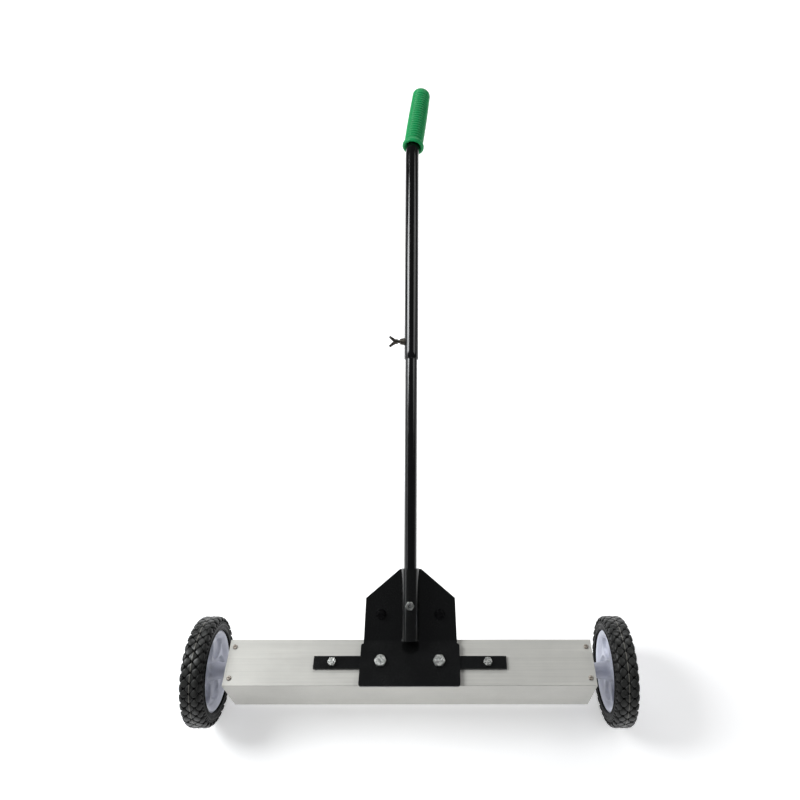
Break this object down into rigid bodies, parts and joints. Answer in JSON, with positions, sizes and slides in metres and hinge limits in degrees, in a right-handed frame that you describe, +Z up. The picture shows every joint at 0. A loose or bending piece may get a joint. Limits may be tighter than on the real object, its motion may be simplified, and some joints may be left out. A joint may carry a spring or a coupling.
{
  "type": "magnetic nail sweeper",
  "caption": "Wheeled magnet bar in an aluminium housing with a folded steel bracket and a telescoping push handle, for picking up nails and screws.",
  "frame": {"origin": "on the floor, at the centre of the whole object's footprint", "axes": "+X along the magnet bar towards the right wheel as seen from the front, +Y the side the handle leans to, +Z up"},
  "size_m": [0.7574, 1.0122, 0.6955],
  "materials": {
    "housing_aluminium": "satin mill finish",
    "cover_aluminium": "plain sheet",
    "zinc_steel": "bright zinc plate",
    "screw_steel": "dulled screw heads",
    "ferrite": "dark ceramic magnet",
    "bare_steel": "bare mild steel",
    "black_enamel": "gloss black enamel",
    "tube_enamel": "gloss black enamel on tube",
    "black_zinc": "black zinc plate",
    "dark_steel": "dulled steel",
    "green_grip": "ribbed green rubber",
    "tyre_rubber": "moulded black rubber",
    "hub_plastic": "pale grey moulded plastic",
    "bush_nylon": "natural nylon"
  },
  "bodies": {
    "chassis": {"housing_shell": "housing_aluminium", "bottom_cover": "cover_aluminium", "left_end_cap": "housing_aluminium", "right_end_cap": "housing_aluminium", "end_cap_screws": "screw_steel", "magnet_blocks": "ferrite", "backing_plate": "bare_steel", "magnet_spacers": "bare_steel", "mounting_strap": "black_enamel", "strap_bolts": "zinc_steel", "strap_nuts": "zinc_steel", "handle_bracket": "black_enamel", "bracket_bolts": "zinc_steel", "bracket_washers": "zinc_steel", "bracket_nuts": "zinc_steel", "bracket_stiffener": "black_enamel", "stiffener_washers": "black_zinc", "stiffener_bolts": "black_zinc", "stiffener_nuts": "black_zinc", "handle_socket": "black_enamel", "lower_tube": "tube_enamel", "socket_bolt": "zinc_steel", "socket_nut": "zinc_steel", "left_axle_washer": "zinc_steel", "left_axle_bolt": "zinc_steel", "left_axle_sleeve": "dark_steel", "left_lock_washer": "zinc_steel", "left_lock_nut": "zinc_steel", "right_axle_washer": "zinc_steel", "right_axle_bolt": "zinc_steel", "right_axle_sleeve": "dark_steel", "right_lock_washer": "zinc_steel", "right_lock_nut": "zinc_steel"},
    "upper_handle": {"upper_tube": "tube_enamel", "clamp_boss": "dark_steel", "grip": "green_grip"},
    "wing_screw": {"wing_screw": "dark_steel"},
    "left_wheel": {"left_tyre": "tyre_rubber", "left_hub": "hub_plastic", "left_bushes": "bush_nylon"},
    "right_wheel": {"right_tyre": "tyre_rubber", "right_hub": "hub_plastic", "right_bushes": "bush_nylon"}
  },
  "joints": [
    {"name": "left_wheel_spin", "type": "hinge", "parent": "chassis", "child": "left_wheel", "pos_m": [-0.35, -0.4171, 0.089], "axis": [1, 0, 0], "continuous": true},
    {"name": "right_wheel_spin", "type": "hinge", "parent": "chassis", "child": "right_wheel", "pos_m": [0.35, -0.4171, 0.089], "axis": [1, 0, 0], "continuous": true},
    {"name": "handle_slide", "type": "slide", "parent": "chassis", "child": "upper_handle", "axis": [0, 0.848, 0.5299], "range_m": [-0.17, 0.14]},
    {"name": "wing_screw_turn", "type": "hinge", "parent": "upper_handle", "child": "wing_screw", "pos_m": [0, 0.04181, 0.43273], "axis": [-1, 0, 0], "range_deg": [0, 720]}
  ]
}
